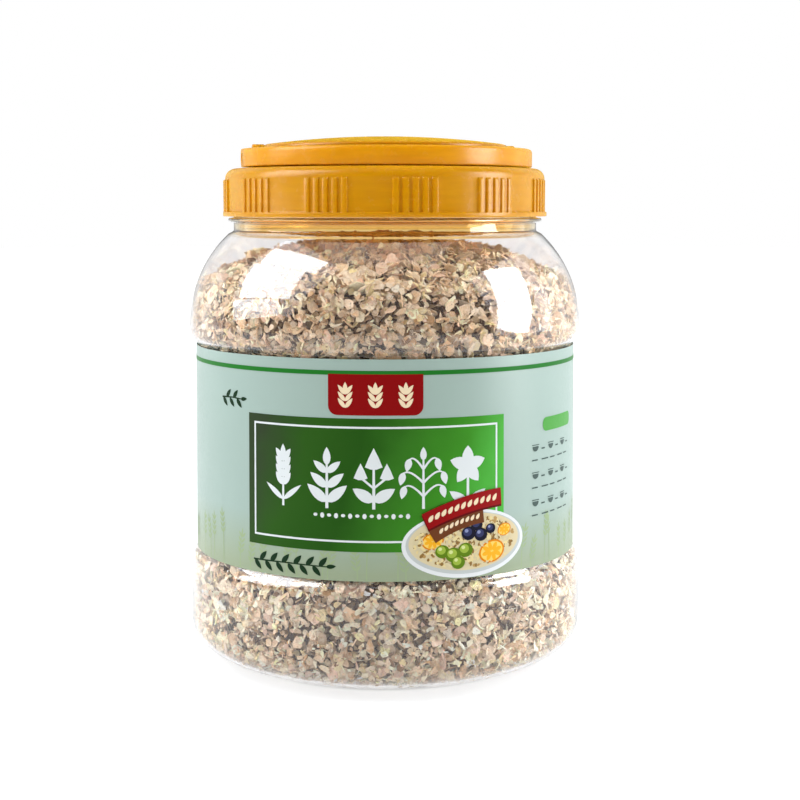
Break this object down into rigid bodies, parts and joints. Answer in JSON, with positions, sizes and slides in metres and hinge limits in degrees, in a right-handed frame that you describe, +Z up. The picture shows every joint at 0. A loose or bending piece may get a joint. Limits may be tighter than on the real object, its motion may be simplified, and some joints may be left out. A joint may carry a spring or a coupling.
{
  "type": "plastic jar of grain flakes",
  "caption": "Shut clear plastic jar full of grain flakes, with a ribbed yellow screw lid, a fold-over carry handle and a wrap-around label.",
  "frame": {"origin": "middle of the jar's foot ring, on the jar's axis", "axes": "+Z up along the jar's axis, -Y towards the front of the label, +X to the right as seen from the front"},
  "size_m": [0.1514, 0.1514, 0.1993],
  "materials": {
    "jar": "gloss",
    "lid": "gloss",
    "handle": "gloss",
    "label": "satin",
    "flakes": "matte"
  },
  "bodies": {
    "container": {"jar": "jar", "lid": "lid", "label": "label", "flakes": "flakes"},
    "handle": {"handle": "handle"}
  },
  "joints": [
    {"name": "handle_fold", "type": "hinge", "parent": "container", "child": "handle", "pos_m": [0, 0, 0.1911], "axis": [-0.9829, -0.184, 0], "range_deg": [0, 180]}
  ]
}
